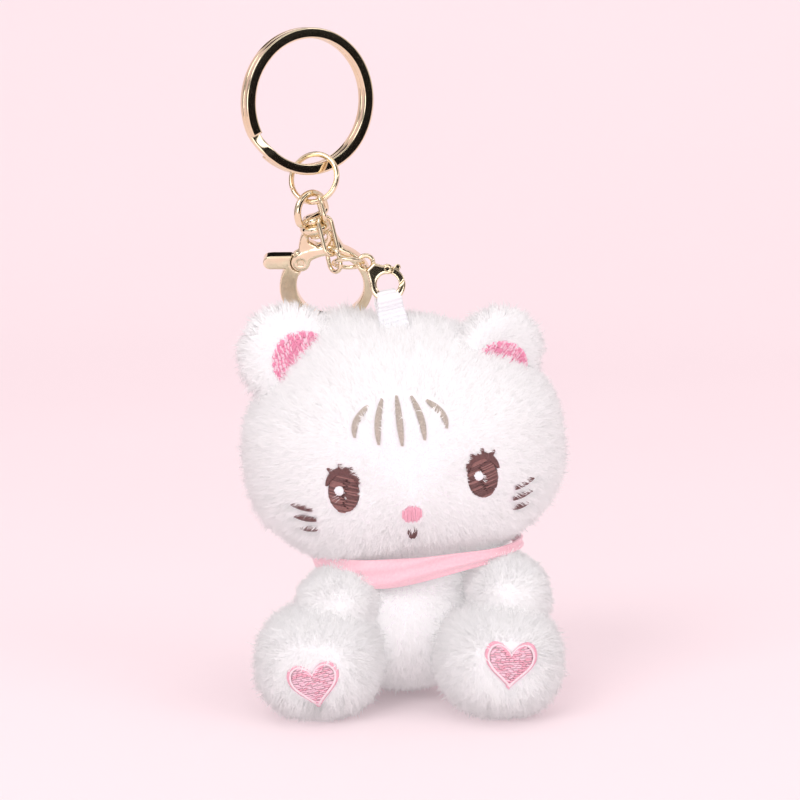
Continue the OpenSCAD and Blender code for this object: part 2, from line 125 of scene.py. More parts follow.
def new_material(name):
    m = bpy.data.materials.new(name)
    m.use_nodes = True
    nodes, links = m.node_tree.nodes, m.node_tree.links
    return m, nodes, links, nodes["Principled BSDF"]


def set_in(node, **values):
    for key, value in values.items():
        node.inputs[key.replace("_", " ")].default_value = value


def noise_node(nodes, links, scale, detail=4.0, rough=0.55):
    coord = nodes.new("ShaderNodeTexCoord")
    tex = nodes.new("ShaderNodeTexNoise")
    set_in(tex, Scale=scale, Detail=detail, Roughness=rough)
    links.new(coord.outputs["Object"], tex.inputs["Vector"])
    return tex


def tint(nodes, links, bsdf, tex, dark, light):
    """Base colour that drifts between two shades with a texture."""
    ramp = nodes.new("ShaderNodeValToRGB")
    for element, at, colour in zip(ramp.color_ramp.elements, (0.3, 0.7), (dark, light)):
        element.position = at
        element.color = (*colour, 1)
    links.new(tex.outputs["Fac"], ramp.inputs["Fac"])
    links.new(ramp.outputs["Color"], bsdf.inputs["Base Color"])


def bump_node(nodes, links, source, shader, distance, strength):
    bump = nodes.new("ShaderNodeBump")
    set_in(bump, Distance=distance, Strength=strength)
    links.new(source, bump.inputs["Height"])
    links.new(bump.outputs["Normal"], shader.inputs["Normal"])


def metal(name, light, dark, rough):
    """Plated metal: slight colour drift, fine polishing marks and a little wear."""
    m, nodes, links, bsdf = new_material(name)
    set_in(bsdf, Metallic=1.0, Roughness=rough)
    drift = noise_node(nodes, links, 160.0, 3.0)
    tint(nodes, links, bsdf, drift, dark, light)
    marks = noise_node(nodes, links, 900.0, 6.0, 0.7)
    polish = nodes.new("ShaderNodeMapRange")
    set_in(polish, To_Min=rough * 0.6, To_Max=rough * 1.7)
    links.new(marks.outputs["Fac"], polish.inputs["Value"])
    links.new(polish.outputs["Result"], bsdf.inputs["Roughness"])
    waves = noise_node(nodes, links, 330.0, 2.0)
    bump_node(nodes, links, waves.outputs["Fac"], bsdf, 0.00002, 0.25)
    return m


def pile_fibre(name, colour):
    m, _, _, bsdf = new_material(name)
    # The fibres glow a little through their emission. This is painted light, standing in for light
    # scattered between the white fibres.
    set_in(bsdf, Base_Color=(*colour, 1), Roughness=0.75, Specular_IOR_Level=0.1,
           Emission_Color=(*colour, 1), Emission_Strength=0.20)
    return m


def cloth(name, light, dark, rough, scale=2600.0, depth=0.00004):
    m, nodes, links, bsdf = new_material(name)
    set_in(bsdf, Roughness=rough, Sheen_Weight=0.3, Sheen_Roughness=0.4)
    tex = noise_node(nodes, links, scale, 5.0, 0.65)
    tint(nodes, links, bsdf, tex, dark, light)
    bump_node(nodes, links, tex.outputs["Fac"], bsdf, depth, 0.8)
    return m


GOLD = metal("champagne_gold", (0.90, 0.78, 0.58), (0.82, 0.68, 0.46), 0.07)
STEEL = metal("pin_steel", (0.72, 0.70, 0.66), (0.6, 0.58, 0.55), 0.22)
# Three tones spread at random over the strands. Their faint pink cast, which the glow carries too,
# is painted light standing in for light bounced from the pink surroundings.
FIBRES = [pile_fibre("pile_white", (0.98, 0.955, 0.965)),
          pile_fibre("pile_cool", (0.965, 0.94, 0.955)),
          pile_fibre("pile_warm", (0.975, 0.95, 0.945))]
BACKING = cloth("pile_backing", (0.95, 0.93, 0.95), (0.90, 0.87, 0.90), 0.95, 900.0)
BROWN = cloth("brown_thread", (0.20, 0.085, 0.080), (0.105, 0.040, 0.040), 0.42)
# A lighter brown for the eyes' painted sheen threads.
SHEEN_BROWN = cloth("sheen_brown_thread", (0.36, 0.17, 0.155), (0.22, 0.095, 0.09), 0.35)
DARK_BROWN = cloth("brown_ground", (0.11, 0.045, 0.045), (0.07, 0.03, 0.03), 0.8, 1800.0)
WHITE_THREAD = cloth("white_thread", (0.96, 0.96, 0.97), (0.86, 0.88, 0.92), 0.4)
BEIGE = cloth("beige_thread", (0.66, 0.58, 0.51), (0.42, 0.36, 0.31), 0.4)
PINK = cloth("pink_thread", (0.94, 0.37, 0.53), (0.80, 0.25, 0.42), 0.42)
MID_PINK = cloth("mid_pink_thread", (0.94, 0.52, 0.62), (0.86, 0.38, 0.50), 0.42)
LIGHT_PINK = cloth("light_pink_thread", (0.97, 0.70, 0.79), (0.92, 0.55, 0.67), 0.45)
PALE_PINK = cloth("pale_pink_thread", (0.98, 0.84, 0.88), (0.95, 0.74, 0.80), 0.45)
RIBBON = cloth("grosgrain", (0.93, 0.93, 0.95), (0.84, 0.85, 0.89), 0.6, 2400.0)
KERCHIEF = cloth("kerchief_satin", (0.95, 0.62, 0.68), (0.90, 0.52, 0.60), 0.38, 1700.0, 0.00002)


# ---- meshes ----

def piece(name, verts, faces, material, body="kitten"):
    """A mesh piece from millimetres, riding on a body; faces is a list of index arrays."""
    verts = np.ascontiguousarray(np.asarray(verts, np.float64) * MM, dtype=np.float32)
    faces = [np.asarray(f, np.int32) for f in faces if len(f)]
    loops = np.concatenate([f.ravel() for f in faces])
    totals = np.concatenate([np.full(len(f), f.shape[1], np.int32) for f in faces])
    starts = np.concatenate([[0], np.cumsum(totals)[:-1]]).astype(np.int32)
    me = bpy.data.meshes.new(name)
    me.vertices.add(len(verts))
    me.vertices.foreach_set("co", verts.ravel())
    me.loops.add(len(loops))
    me.loops.foreach_set("vertex_index", loops)
    me.polygons.add(len(totals))
    me.polygons.foreach_set("loop_start", starts)
    me.polygons.foreach_set("loop_total", totals)
    me.polygons.foreach_set("use_smooth", np.ones(len(totals), bool))
    me.update(calc_edges=True)
    me.materials.append(material)
    ob = add_object(name, me)
    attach(ob, body)
    return ob


def superellipse(n, power):
    a = 2 * np.pi * (np.arange(n) + 0.5) / n
    c, s = np.cos(a), np.sin(a)
    return (np.sign(c) * abs(c) ** (2 / power), np.sign(s) * abs(s) ** (2 / power))


def sweep(path, normal, half_w, half_t, sides, power, closed=False):
    """A section carried along a path: half_w wide across it and half_t thick along the normal."""
    path = np.asarray(path, float)
    n = len(path)
    if closed:
        tangent = np.roll(path, -1, 0) - np.roll(path, 1, 0)
    else:
        tangent = np.gradient(path, axis=0)
    tangent = unit(tangent)
    up = np.broadcast_to(np.asarray(normal, float), (n, 3))
    side = unit(np.cross(tangent, up))
    up = unit(np.cross(side, tangent))
    c, s = superellipse(sides, power)
    half_w = np.broadcast_to(half_w, n)[:, None, None]
    half_t = np.broadcast_to(half_t, n)[:, None, None]
    v = (path[:, None] + side[:, None] * c[None, :, None] * half_w
         + up[:, None] * s[None, :, None] * half_t).reshape(-1, 3)
    quads = wrapped_quads(n, sides, closed)
    tris = np.zeros((0, 3), int)
    if not closed:
        v, tris = end_fans(v, n, sides, path[0], path[-1])
    return v, quads, tris


def wrapped_quads(rows, sides, closed=False, swap=False):
    """Faces between consecutive rings of vertices; a closed tube's last ring meets its first."""
    i = np.arange(rows if closed else rows - 1)[:, None] * sides
    j = (i + sides) % (rows * sides)
    k = np.arange(sides)[None]
    k2 = (k + 1) % sides
    corners = [i + k, j + k, j + k2, i + k2] if swap else [i + k, i + k2, j + k2, j + k]
    return np.stack(corners, -1).reshape(-1, 4)


def end_fans(verts, rows, sides, first, last):
    """Adds a centre point at each end of a tube, and the triangles that close it."""
    n = len(verts)
    ring = np.arange(sides)
    nxt = (ring + 1) % sides
    end = (rows - 1) * sides
    tris = np.vstack([np.stack([nxt, ring, np.full(sides, n)], 1),
                      np.stack([end + ring, end + nxt, np.full(sides, n + 1)], 1)])
    return np.vstack([verts, first, last]), tris


def arc_length(points):
    """Length along a line up to each of its points."""
    return np.concatenate([[0], np.cumsum(np.linalg.norm(np.diff(points, axis=0), axis=1))])


def join(*parts):
    """One vertex array and face lists from several (verts, quads, tris)."""
    verts, quads, tris, base = [], [], [], 0
    for v, q, t in parts:
        verts.append(v)
        quads.append(q + base)
        tris.append(t + base)
        base += len(v)
    return np.vstack(verts), [np.vstack(quads), np.vstack(tris)]


def lathe(points, place):
    """A closed solid turned about the place's Z axis, from (radius, height) points."""
    sides = 48
    r = np.array([p[0] for p in points], float)
    z = np.array([p[1] for p in points], float)
    a = 2 * np.pi * np.arange(sides) / sides
    v = np.stack([r[:, None] * np.cos(a), r[:, None] * np.sin(a),
                  np.broadcast_to(z[:, None], (len(r), sides))], -1).reshape(-1, 3)
    v, tris = end_fans(v, len(r), sides, [0, 0, z[0]], [0, 0, z[-1]])
    return place.out(v), wrapped_quads(len(r), sides), tris


def arc(radius, n, start, sweep_deg):
    a = np.radians(start + np.linspace(0, sweep_deg, n))
    return np.stack([radius * np.cos(a), 0 * a, radius * np.sin(a)], 1)


def cast_copy(node, body, voxel, rounds, grow):
    """The node's own shape with its edges rounded as on cast and plated metal."""
    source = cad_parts[node]
    work = add_object(node + "_cast", source.data.copy())
    remesh = work.modifiers.new("remesh", "REMESH")
    remesh.mode = "VOXEL"
    remesh.voxel_size = voxel * MM
    soft = work.modifiers.new("soft", "SMOOTH")
    soft.factor = 0.5
    soft.iterations = rounds
    swell = work.modifiers.new("swell", "DISPLACE")
    swell.strength = grow * MM
    swell.mid_level = 0
    done = bpy.data.meshes.new_from_object(
        work.evaluated_get(bpy.context.evaluated_depsgraph_get()))
    work.modifiers.clear()
    work.data = done
    done.materials.clear()
    done.materials.append(GOLD)
    done.polygons.foreach_set("use_smooth", np.ones(len(done.polygons), bool))
    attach(work, body)
    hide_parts(node)


# ---- hardware ----

RING_YAW = 32
RING_FRONT = rot_z(RING_YAW) @ [0, -1, 0]
RING_ACROSS = rot_z(RING_YAW) @ [1, 0, 0]


def make_split_ring():
    """Two turns of flat wire with the step where the wire goes from the back turn to the front."""
    cross_at, band, turn_t, mid = 211, 2.2, 1.4, 15 - 1.1
    a = np.arange(17, 717.1, 1.5)
    height = -0.74 + 1.48 * smooth_step(a, 352, 380)
    rad = np.radians(a + cross_at)
    path = (RING_ACROSS * (mid * np.cos(rad))[:, None] + RING_FRONT * height[:, None]
            + np.array([0, 0, 1.0]) * (mid * np.sin(rad))[:, None])
    v, q, t = sweep(path, RING_FRONT, band / 2, turn_t / 2 - 0.005, 28, 6.0)
    ob = piece("split_ring_wire", v, [q, t], GOLD, "split_ring")
    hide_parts("split_ring")


JUMP = Place((1.2, 0.1, -15.7), rot_z(-22) @ rot_x(-18))
JUMP_R = (11.2 - 1.15) / 2


def on_jump(a):
    c, s = cos_sin(a)
    return JUMP.out([JUMP_R * c, 0, JUMP_R * s])


def round_wire(name, node, place, local, radius, body, closed=True):
    v, q, t = sweep(place.out(local), place.turned([0, 1, 0]), radius, radius, 16, 2.0, closed)
    ob = piece(name, v, [q, t], GOLD, body)
    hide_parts(node)


def stadium(length, width, n=20):
    r, straight = width / 2, length / 2 - width / 2
    a = np.linspace(0, np.pi, n)
    top = np.stack([r * np.cos(a), 0 * a, straight + r * np.sin(a)], 1)
    low = np.stack([-r * np.cos(a), 0 * a, -straight - r * np.sin(a)], 1)
    s = np.linspace(straight, -straight, 6)[1:-1]
    left = np.stack([0 * s - r, 0 * s, s], 1)
    return np.vstack([top, left, low, left * [-1, 1, -1]])


def between(a, b, turn):
    """The frame of a piece hung from a to b: Z down along them, X turned about the vertical."""
    a, b = np.asarray(a, float), np.asarray(b, float)
    d = b - a
    across = math.degrees(math.atan2(d[1], d[0]))
    tip = math.degrees(math.acos(d[2] / np.linalg.norm(d)))
    return Place((a + b) / 2, rot_z(across) @ rot_y(tip) @ rot_z(across + 180 - turn))


LINK_WIRE, LINK_GAP = 0.9, 0.14
HOLDS = [on_jump(-71.2) + [0, 0, (1.15 + LINK_GAP) / 2], np.array([3.3, -2.52, -23.92]),
         np.array([4.93, -3.54, -30.53]), np.array([5.77, -4.11, -33.96])]


def make_chain():
    round_wire("jump_ring_wire", "jump_ring", JUMP, arc(JUMP_R, 110, -149.2, 358.4),
               1.15 / 2, "jump_ring", False)
    links = (("link_upper", 3.08, 100.4), ("link_middle", 2.92, 27.2),
             ("link_lower", 3.18, -43.6))
    for i, (node, width, turn) in enumerate(links):
        a, b = HOLDS[i], HOLDS[i + 1]
        local = stadium(np.linalg.norm(b - a) + LINK_WIRE + LINK_GAP, width)
        round_wire(node + "_wire", node, between(a, b, turn), local, LINK_WIRE / 2, node)
    end = Place((8.31, -4.29, -32.74), rot_x(67.5))
    round_wire("end_ring_wire", "end_ring", end, arc(3.05, 80, -48.5, 357),
               LINK_WIRE / 2, "end_ring", False)


EYE_HOLD = on_jump(-96)
CLASP = Place(EYE_HOLD, rot_x(17) @ rot_y(-13))
EYE_TOP = (1.15 + 1.5) / 2 + 0.25
COLLAR_Z = EYE_TOP - 3.8 - 1.5 - 0.75 - 0.2


def make_swivel_eye():
    r, wire = 3.8, 1.5
    place = Place(EYE_HOLD, CLASP.turn @ rot_z(45))
    c = EYE_TOP - r
    a = np.radians(np.linspace(0, 180, 40))
    bow = np.stack([r * np.cos(a), 0 * a, c + r * np.sin(a)], 1)
    b = np.radians(np.linspace(0, 90, 8))
    k = 0.9
    left = np.stack([-r + k - k * np.cos(b), 0 * b, c - 1.5 + k - k * np.sin(b)], 1)
    right = (left * [-1, 1, 1])[::-1]
    path = np.vstack([bow, left, right])
    loop = sweep(place.out(path), place.turned([0, 1, 0]), wire / 2, wire / 2, 18, 2.0, True)
    z = COLLAR_Z
    post = lathe([(0.3, z + 1.2), (1.0, z + 1.1), (1.0, z - 2.5), (1.6, z - 2.5), (1.6, z - 3.1),
                  (1.3, z - 3.3)], CLASP)
    seat = lathe([(1.2, z + 1.6), (2.1, z + 1.3), (2.2, z + 0.4), (1.9, z + 0.12), (1.0, z + 0.1)],
                 CLASP)
    v, f = join(loop, post, seat)
    ob = piece("swivel_eye_bow", v, f, GOLD, "swivel_eye")
    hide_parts("swivel_eye")


def finish_nodes():
    """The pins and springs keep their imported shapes."""
    for node, material in (("clasp_pin", GOLD), ("lobster_pin", GOLD), ("clasp_spring", STEEL),
                           ("lobster_spring", STEEL)):
        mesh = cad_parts[node].data
        mesh.materials.clear()
        mesh.materials.append(material)


def make_hardware():
    make_split_ring()
    make_chain()
    make_swivel_eye()
    for node, *how in (("clasp_body", "clasp", 0.15, 80, 0.16),
                       ("clasp_gate", "clasp_gate", 0.12, 26, 0.05),
                       ("lobster_body", "lobster", 0.09, 60, 0.10),
                       ("lobster_gate", "lobster_gate", 0.08, 12, 0.03)):
        cast_copy(node, *how)
    finish_nodes()


# ---- ribbon ----

LOBSTER_TOP = np.array([11.82, -4.21, -32.65])
HOOK = LOBSTER_TOP + (rot_x(-10) @ rot_y(-45)) @ np.array([0, 0, -6.3])
RIBBON_TOP = HOOK + rot_x(-10) @ np.array([0, 0, -2.95])
RIBBON_FOOT = np.array([18.3, -7.0, -47.6])


CLEAR = []


def make_ribbon():
    """A grosgrain strip: up from the head, over the hook, and down again behind."""
    place = between(RIBBON_TOP, RIBBON_FOOT, 12)
    reach = np.linalg.norm(RIBBON_FOOT - RIBBON_TOP) / 2
    bend = 1.75
    # The strip's middle line in the place's YZ plane; local Z runs down
    low = reach + 1.2
    straight = np.linspace(low, -reach + 2.6, 120)
    front = np.stack([-0.32 - 0 * straight, straight], 1)
    neck = np.linspace(0, 1, 16)[1:]
    ease = smooth_step(neck, 0, 1)
    swell = np.stack([-0.32 - (bend - 0.32) * ease, -reach + 2.6 - 2.4 * neck], 1)
    a = np.radians(np.linspace(0, 180, 36))[1:-1]
    top_z = -reach + 0.2
    over = np.stack([-bend * np.cos(a), top_z - bend * np.sin(a)], 1)
    line = np.vstack([front, swell, over, swell[::-1] * [-1, 1], front[::-1] * [-1, 1]])
    s = arc_length(line)
    fine = np.arange(0, s[-1], 0.085)
    y = np.interp(fine, s, line[:, 0])
    z = np.interp(fine, s, line[:, 1])
    over_hook = smooth_step(-(z - top_z), -0.2, 1.5)
    half = 2.95 - 0.85 * over_hook - 0.3 * smooth_step(-(z + reach), -4.5, 0.0) * (1 - over_hook)
    rib = np.cos(2 * np.pi * fine / 0.95)
    thick = 0.17 + 0.10 * rib + 0.06 * over_hook
    ty, tz = np.gradient(y), np.gradient(z)
    size = np.hypot(ty, tz)
    ny, nz = tz / size, -ty / size
    m = 15
    t = np.linspace(-1, 1, m)
    crown = 0.10 * (1 - t ** 2)
    wave = 0.10 * np.sin(0.35 * z + 0.8)[:, None] * t
    rows = []
    for sign in (1, -1):
        edge = 1 - 0.75 * (abs(t) > 0.99)
        off = sign * thick[:, None] * edge + crown + wave
        x = half[:, None] * t * (1 + 0.012 * rib[:, None])
        rows.append(np.stack([x, y[:, None] + ny[:, None] * off,
                              z[:, None] + nz[:, None] * off], -1))
    ring = np.concatenate([rows[0], rows[1][:, ::-1]], 1)
    n, k = ring.shape[:2]
    v = ring.reshape(-1, 3)
    quads = wrapped_quads(n, k)
    caps = []
    for base in (0, (n - 1) * k):
        for j in range(m - 1):
            caps.append([base + j, base + j + 1, base + k - 2 - j, base + k - 1 - j])
    caps = np.array(caps)
    caps[: m - 1] = caps[: m - 1, ::-1]
    ob = piece("ribbon_strip", place.out(v), [quads, caps], RIBBON)
    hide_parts("ribbon_loop")
    across = place.turned([1.0, 0, 0])
    foot = [RIBBON_FOOT + across * k + [0, -0.6, 0.4] for k in (-2.4, 0, 2.4)]
    CLEAR.append((np.array(foot), 1.7))


# ---- kitten: skins ----

def ball(level):
    """Directions and triangles of a subdivided icosahedron."""
    bm = bmesh.new()
    bmesh.ops.create_icosphere(bm, subdivisions=level, radius=1.0)
    bm.verts.ensure_lookup_table()
    v = np.array([x.co[:] for x in bm.verts])
    f = np.array([[x.index for x in p.verts] for p in bm.faces])
    bm.free()
    return unit(v), f


def vertex_normals(v, f):
    n = np.cross(v[f[:, 1]] - v[f[:, 0]], v[f[:, 2]] - v[f[:, 0]])
    out = np.zeros_like(v)
    for k in range(3):
        np.add.at(out, f[:, k], n)
    return unit(out)


def bumps(d, spots):
    """Sum of smooth bumps: each (direction, width, height)."""
    total = np.zeros(len(d))
    for direction, width, height in spots:
        gap = np.linalg.norm(d - unit(direction), axis=1)
        total += height * np.exp(-(gap / width) ** 2)
    return total


def wrinkle(d, seed, size):
    """Gentle unevenness of stuffing under fabric."""
    count = 9
    rng = np.random.default_rng(seed)
    total = np.zeros(len(d))
    for _ in range(count):
        w = unit(rng.normal(size=3)) * rng.uniform(3, 8)
        total += np.sin(d @ w + rng.uniform(0, 6.3))
    return size * total / math.sqrt(count)


class Skin:
    """A stuffed part's outer surface: local and placed vertices, faces and a ray tree."""

    def __init__(self, part, place, local, faces, fill, nodes=("{}_cover", "{}_stuffing")):
        self.place, self.faces = place, faces
        self.verts = place.out(local)
        self.normals = vertex_normals(self.verts, faces)
        self.tree = BVHTree.FromPolygons([Vector(p) for p in local.tolist()], faces.tolist())
        self.world_tree = BVHTree.FromPolygons([Vector(p) for p in self.verts.tolist()],
                                               faces.tolist())
        ob = piece(part + "_skin", self.verts, [faces], BACKING)
        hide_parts(*(node.format(part) for node in nodes))

    def cast(self, points, direction):
        """Points on the surface, in the part's frame, under local ones seen along a direction."""
        out, nor = [], []
        direction = Vector(direction)
        for p in points:
            hit, n, _, _ = self.tree.ray_cast(Vector(p), direction)
            if hit is None:
                hit, n, _, _ = self.tree.find_nearest(Vector(p))
            out.append(hit[:])
            nor.append(n[:])
        out, nor = np.array(out), np.array(nor)
        nor *= np.sign(-(nor @ np.array(direction[:])))[:, None]
        return self.place.out(out), self.place.turned(nor)


HEAD = Place((19.4, -3, -68.5), rot_y(-5.5) @ rot_z(4))
TORSO = Place((19.8, -4, -104), np.eye(3))
SEAT_Z, LAP_Z, FLOOR_Z = -119.8, -100.4, -122.3


def limb_place(centre, side, turn, dip=0):
    return Place(centre, rot_z(side * turn) @ rot_x(90 + dip))


LEFT_ARM = limb_place((7.0, -17.5, -99.6), -1, 24, 16)
RIGHT_ARM = limb_place((40.4, -17, -98.2), 1, 20, 18)
LEFT_LEG = limb_place((2.8, -22, -111.3), -1, 8)
RIGHT_LEG = limb_place((38.6, -22, -110.9), 1, 8)
LEFT_EAR = Place((-3.4, -6.6, -52.0), rot_y(-28) @ rot_z(8))
RIGHT_EAR = Place((38.4, -7.0, -51.4), rot_y(24) @ rot_z(30))


def super_radius(d, r, power):
    return (np.sum((abs(d) / np.asarray(r)) ** power, axis=1)) ** (-1 / power)


def head_skin():
    d, f = ball(6)
    size = (30.3, 22.3, 22.0)
    high = smooth_step(d[:, 2], 0.0, 0.5)
    r = super_radius(d, size, 2.42) * (1 - high) + super_radius(d, size, 2.06) * high
    r += bumps(d, [((-0.75, -0.55, -0.42), 0.42, 1.3), ((0.75, -0.55, -0.42), 0.42, 1.3),
                   ((0, -1, -0.52), 0.30, 1.1), ((-0.42, -0.85, -0.28), 0.20, -0.7),
                   ((0.42, -0.85, -0.28), 0.20, -0.7), ((-0.47, 0.16, 0.86), 0.27, 3.0),
                   ((0.16, 0.0, 0.98), 0.3, 0.7)])
    r += wrinkle(d, 3, 0.12)
    local = d * r[:, None]
    # Narrower towards the crown than towards the cheeks
    high = smooth_step(local[:, 2], 2, 22)
    local[:, 0] *= 1 - 0.10 * high
    local[:, 2] *= 1 + 0.13 * smooth_step(-local[:, 2], 2, 20)
    local[:, 0] -= 0.1
    return Skin("head", HEAD, local, f, 0.8)


def torso_skin():
    d, f = ball(5)
    r = super_radius(d, (15.3, 15.3, 15.4), 2.15)
    r += bumps(d, [((0, -1, -0.35), 0.6, 1.2)]) + wrinkle(d, 5, 0.12)
    local = d * r[:, None]
    world = TORSO.out(local)
    world[:, 2] = np.maximum(world[:, 2], SEAT_Z + 0.2)
    return Skin("torso", TORSO, TORSO.back(world), f, 0.75)


def leg_skin(part, place, seed):
    d, f = ball(5)
    r = super_radius(d, (10.2, 8.9, 14.2), 2.4) + wrinkle(d, seed, 0.10)
    local = d * r[:, None]
    # The sole is a gently crowned disc, pulled in a little under its stitching
    limit = 12.9 - 0.010 * (local[:, 0] ** 2 + local[:, 1] ** 2)
    z = local[:, 2]
    over = np.maximum(z - (limit - 1.2), 0)
    local[:, 2] = np.where(z > limit - 1.2, limit - 1.2 + 1.2 * (1 - np.exp(-over / 1.2)), z)
    world = place.out(local)
    world[:, 2] = np.maximum(world[:, 2], SEAT_Z + 0.2)
    return Skin(part, place, place.back(world), f, 0.75)


def arm_skin(part, place, high, seed):
    d, f = ball(5)
    r = super_radius(d, (6.3, high, 8.8), 2.3) + wrinkle(d, seed, 0.08)
    local = d * r[:, None]
    # The paw is fuller than the shoulder
    swell = 1 + 0.10 * smooth_step(local[:, 2], -2, 6)
    local[:, :2] *= swell[:, None]
    world = place.out(local)
    world[:, 2] = np.maximum(world[:, 2], LAP_Z - 4.0)
    return Skin(part, place, place.back(world), f, 0.75)


def ear_skin(part, place, size):
    d, f = ball(5)
    r = super_radius(d, size, 2.15)
    local = d * r[:, None]
    # The front is a shallow bowl
    rho = np.hypot(local[:, 0], local[:, 2] + 1.0)
    front = (d[:, 1] < 0)
    local[:, 1] += np.where(front, 1.1 * np.exp(-(rho / 4.4) ** 2), 0)
    return Skin(part, place, local, f, 0.4, ("{}",))


# ---- kitten: pile ----

# Fibres: width at the root, spacing and strength of the locks, and spread of direction
FIBRE_WIDTH, LOCK_SPACING, PULL, WILD = 0.15, 0.95, 0.45, 0.26
STRANDS_PER_PIECE = 32000


def grow_pile(name, skin, count, length, comb, keep, seed):
    """Grows tapered, curved, clumped fibres from a skin, as mesh strands that are open at their
    buried roots.
    """
    count = int(count * (1.0))
    rng = np.random.default_rng(seed)
    v, f, nor = skin.verts, skin.faces, skin.normals
    a, b, c = v[f[:, 0]], v[f[:, 1]], v[f[:, 2]]
    area = np.linalg.norm(np.cross(b - a, c - a), axis=1) / 2
    pick = rng.choice(len(f), count, p=area / area.sum())
    w1, w2 = rng.random(count), rng.random(count)
    flip = w1 + w2 > 1
    w1[flip], w2[flip] = 1 - w1[flip], 1 - w2[flip]
    w = np.stack([1 - w1 - w2, w1, w2], 1)
    root = np.einsum("ij,ijk->ik", w, v[f[pick]])
    normal = unit(np.einsum("ij,ijk->ik", w, nor[f[pick]]))
    kept = keep(root)
    root, normal = root[kept], normal[kept]
    n = len(root)
    long = length(root, normal) * rng.uniform(0.72, 1.15, n)
    long *= np.where(rng.random(n) < 0.09, 1.42, 1.0)
    lean = comb(root, normal)
    direction = unit(normal + lean + WILD * rng.normal(size=(n, 3)))
    tip = root + direction * long[:, None]
    # Neighbouring fibres draw together into locks
    k = max(1, int(area.sum() / LOCK_SPACING ** 2))
    heads = rng.choice(n, min(k, n), replace=False)
    tree = KDTree(len(heads))
    for i, h in enumerate(heads):
        tree.insert(Vector(root[h]), i)
    tree.balance()
    near = np.array([tree.find(Vector(p))[1] for p in root])
    owner = heads[near]
    hold = PULL * rng.uniform(0.5, 1.2, n)[:, None]
    aim = root[owner] + direction[owner] * long[owner][:, None]
    tip = tip * (1 - hold) + (aim + 0.35 * (root - root[owner])) * hold
    tip[:, 2] = np.maximum(tip[:, 2], FLOOR_Z + 0.1 + 0.3 * rng.random(n))
    mid = root + (tip - root) * 0.5 + normal * (0.16 * long)[:, None] \
        + 0.05 * long[:, None] * rng.normal(size=(n, 3))
    along = unit(tip - root)
    side = unit(np.cross(along, rng.normal(size=(n, 3))))
    up = np.cross(along, side)
    half = (FIBRE_WIDTH / 2) * rng.uniform(0.7, 1.25, n)[:, None]
    root = root - normal * 0.15
    ring = [side * math.cos(a) + up * math.sin(a) for a in (0, 2.094, 4.189)]
    verts = np.stack([root + r * half for r in ring] + [mid + r * half * 0.72 for r in ring]
                     + [tip], 1)
    shade = unit(normal + 0.35 * along + 0.12 * rng.normal(size=(n, 3)))
    kind = rng.integers(0, 10, n)
    groups = [kind < 5, (kind >= 5) & (kind < 8), kind >= 8]
    for i, mask in enumerate(groups):
        chunk = verts[mask]
        parts = max(1, math.ceil(len(chunk) / STRANDS_PER_PIECE))
        tones = np.array_split(shade[mask], parts)
        for j, some in enumerate(np.array_split(chunk, parts)):
            n = len(some)
            base = np.arange(n)[:, None] * 7
            quads = np.vstack([base + np.array([q])
                               for q in ((0, 1, 4, 3), (1, 2, 5, 4), (2, 0, 3, 5))])
            tris = np.vstack([base + np.array([t]) for t in ((3, 4, 6), (4, 5, 6), (5, 3, 6))])
            ob = piece(f"{name}_pile_{'abc'[i]}{j}", some.reshape(-1, 3), [quads, tris],
                       FIBRES[i])
            ob.data.normals_split_custom_set_from_vertices(np.repeat(tones[j], 7, axis=0))
            ob.visible_shadow = False


DOWN = np.array([0, 0, -1.0])


def in_surface(v, normal):
    return v - normal * np.sum(v * normal, axis=1, keepdims=True)


# ---- embroidery ----

def face_surface(uv):
    return head.cast([(u, -60.0, v) for u, v in uv], (0, 1, 0))


def stitches(name, starts, ends, radius, material, arch, sink, node=None, surface=face_surface,
             steps=9):
    """Satin threads, each from a start to an end, laid on a surface that maps uv to points."""
    starts, ends = np.asarray(starts, float), np.asarray(ends, float)
    k = len(starts)
    t = np.linspace(0, 1, steps)
    uv = starts[:, None] + (ends - starts)[:, None] * t[None, :, None]
    p, n = surface(uv.reshape(-1, 2))
    p, n = p.reshape(k, steps, 3), n.reshape(k, steps, 3)
    lift = arch * np.sin(np.pi * t) ** 0.5 + sink
    lift[0] = lift[-1] = sink - radius * 1.2
    rng = np.random.default_rng(k)
    p = p + n * (lift[None, :, None] + 0.02 * rng.normal(size=(k, 1, 1)) + radius * 0.8)
    tangent = unit(np.gradient(p, axis=1))
    side = unit(np.cross(tangent, n))
    up = unit(np.cross(side, tangent))
    m = 6
    a = 2 * np.pi * np.arange(m) / m
    r = radius * np.ones(steps)
    r[0] = r[-1] = radius * 0.45
    out = side[:, :, None] * np.cos(a)[:, None] + up[:, :, None] * np.sin(a)[:, None] * 0.85
    v = (p[:, :, None] + out * r[None, :, None, None]).reshape(-1, 3)
    base = np.arange(k)[:, None, None] * steps * m
    quads = (base + wrapped_quads(steps, m)[None]).reshape(-1, 4)
    first = np.arange(k)[:, None] * steps * m
    last = first + (steps - 1) * m
    caps = np.vstack([first + np.arange(m)[::-1][None], last + np.arange(m)[None]])
    ob = piece(name, v, [quads, caps], material)
    if node:
        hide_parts(node)


